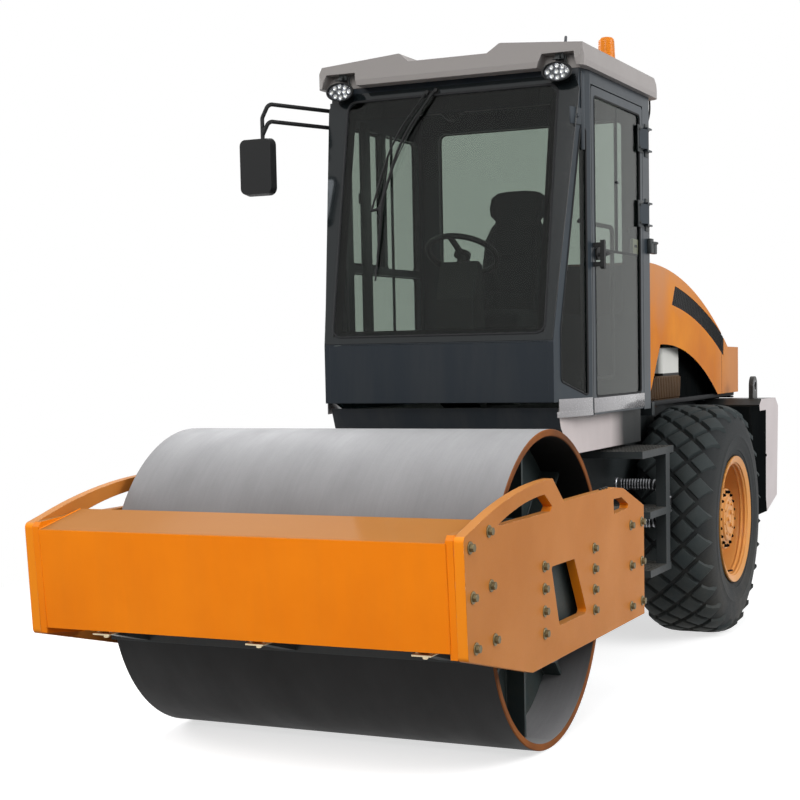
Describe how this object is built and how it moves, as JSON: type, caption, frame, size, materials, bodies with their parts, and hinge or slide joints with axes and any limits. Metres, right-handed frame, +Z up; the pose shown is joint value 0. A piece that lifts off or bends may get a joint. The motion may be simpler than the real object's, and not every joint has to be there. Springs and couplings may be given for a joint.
{
  "type": "single-drum vibratory soil roller",
  "caption": "Articulated soil roller with one smooth steel drum in a front frame, two lugged rear tyres, a glazed cab over the hinge and a tilting hood.",
  "frame": {"origin": "on the ground, midway between the front beam's face and the rear weight's back, on the centreline", "axes": "+X forward, towards the drum; +Y to the machine's left; +Z up"},
  "size_m": [6.027, 2.106, 3.524],
  "materials": {
    "orange": "gloss paint",
    "plate_orange": "satin paint",
    "drum_steel": "rolled steel",
    "drum_inside": "matt primer",
    "frame_black": "satin paint",
    "cab_grey": "satin paint",
    "roof_grey": "satin moulding",
    "weight_grey": "satin paint",
    "tyre": "matt rubber",
    "rim_gold": "gloss paint",
    "glass": "green tint",
    "black_plastic": "matt moulding",
    "lamp": "clear lens over reflectors",
    "beacon_orange": "translucent",
    "seat_cloth": "woven cloth",
    "rubber": "matt",
    "engine_dark": "painted casting",
    "bottle_white": "translucent moulding",
    "chrome": "hard chrome"
  },
  "bodies": {
    "rear_unit": {"rear_frame": "frame_black", "engine": "engine_dark", "coolant_bottle": "bottle_white", "hydraulic_tank": "engine_dark", "rear_axle": "frame_black", "rear_weight": "weight_grey", "side_boxes": "frame_black", "cab_frame": "cab_grey", "front_panel": "cab_grey", "windscreen": "glass", "side_glasses": "glass", "cab_base": "weight_grey", "roof": "roof_grey", "work_lamps": "lamp", "beacon": "beacon_orange", "mirror": "black_plastic", "seat_base": "black_plastic", "seat_cushion": "seat_cloth", "seat_back": "seat_cloth", "steering_column": "black_plastic", "steps": "frame_black", "side_tank": "frame_black"},
    "front_unit": {"side_plate_left": "plate_orange", "side_plate_right": "plate_orange", "front_beam": "orange", "crossbeam": "frame_black", "drum_carriers": "frame_black", "scrapers": "frame_black"},
    "drum": {"drum_shell": "drum_steel", "drum_discs": "drum_inside"},
    "wheel_left": {"tyre_left": "tyre", "rim_left": "rim_gold", "hub_left": "orange"},
    "wheel_right": {"tyre_right": "tyre", "rim_right": "rim_gold", "hub_right": "orange"},
    "ram_left_barrel": {"ram_barrel_left": "frame_black"},
    "ram_left_rod": {"ram_rod_left": "chrome"},
    "ram_right_barrel": {"ram_barrel_right": "frame_black"},
    "ram_right_rod": {"ram_rod_right": "chrome"},
    "door": {"door": "cab_grey", "door_glass": "glass", "door_grips": "black_plastic"},
    "hood": {"hood": "orange", "hood_grilles": "black_plastic"}
  },
  "joints": [
    {"name": "steering", "type": "hinge", "parent": "rear_unit", "child": "front_unit", "pos_m": [0.3615, 0, 0.72], "axis": [0, 0, 1], "range_deg": [-33, 33]},
    {"name": "drum_turn", "type": "hinge", "parent": "front_unit", "child": "drum", "pos_m": [1.8115, 0, 0.723], "axis": [0, 1, 0], "continuous": true},
    {"name": "wheel_left_turn", "type": "hinge", "parent": "rear_unit", "child": "wheel_left", "pos_m": [-1.3585, 0.78, 0.719], "axis": [0, 1, 0], "continuous": true},
    {"name": "wheel_right_turn", "type": "hinge", "parent": "rear_unit", "child": "wheel_right", "pos_m": [-1.3585, -0.78, 0.719], "axis": [0, 1, 0], "continuous": true},
    {"name": "door_swing", "type": "hinge", "parent": "rear_unit", "child": "door", "pos_m": [-0.3655, 0.751, 2.2], "axis": [0, 0, 1], "range_deg": [0, 165]},
    {"name": "hood_lift", "type": "hinge", "parent": "rear_unit", "child": "hood", "pos_m": [-2.9335, 0, 1.462], "axis": [0, -1, 0], "range_deg": [0, 55]},
    {"name": "ram_left_swing", "type": "hinge", "parent": "rear_unit", "child": "ram_left_barrel", "pos_m": [-0.1185, 0.28, 0.72], "axis": [0, 0, 1], "range_deg": [-10.5, 10.5]},
    {"name": "ram_left_slide", "type": "slide", "parent": "ram_left_barrel", "child": "ram_left_rod", "axis": [1, 0, 0], "range_m": [-0.16, 0.16]},
    {"name": "ram_right_swing", "type": "hinge", "parent": "rear_unit", "child": "ram_right_barrel", "pos_m": [-0.1185, -0.28, 0.72], "axis": [0, 0, 1], "range_deg": [-10.5, 10.5]},
    {"name": "ram_right_slide", "type": "slide", "parent": "ram_right_barrel", "child": "ram_right_rod", "axis": [1, 0, 0], "range_m": [-0.16, 0.16]}
  ],
  "couplings": [
    {"joint": "ram_left_swing", "follows": "steering", "ratio": 0.3094},
    {"joint": "ram_left_slide", "follows": "steering", "m_per_rad": -0.2746},
    {"joint": "ram_right_swing", "follows": "steering", "ratio": 0.3094},
    {"joint": "ram_right_slide", "follows": "steering", "m_per_rad": 0.2746}
  ]
}
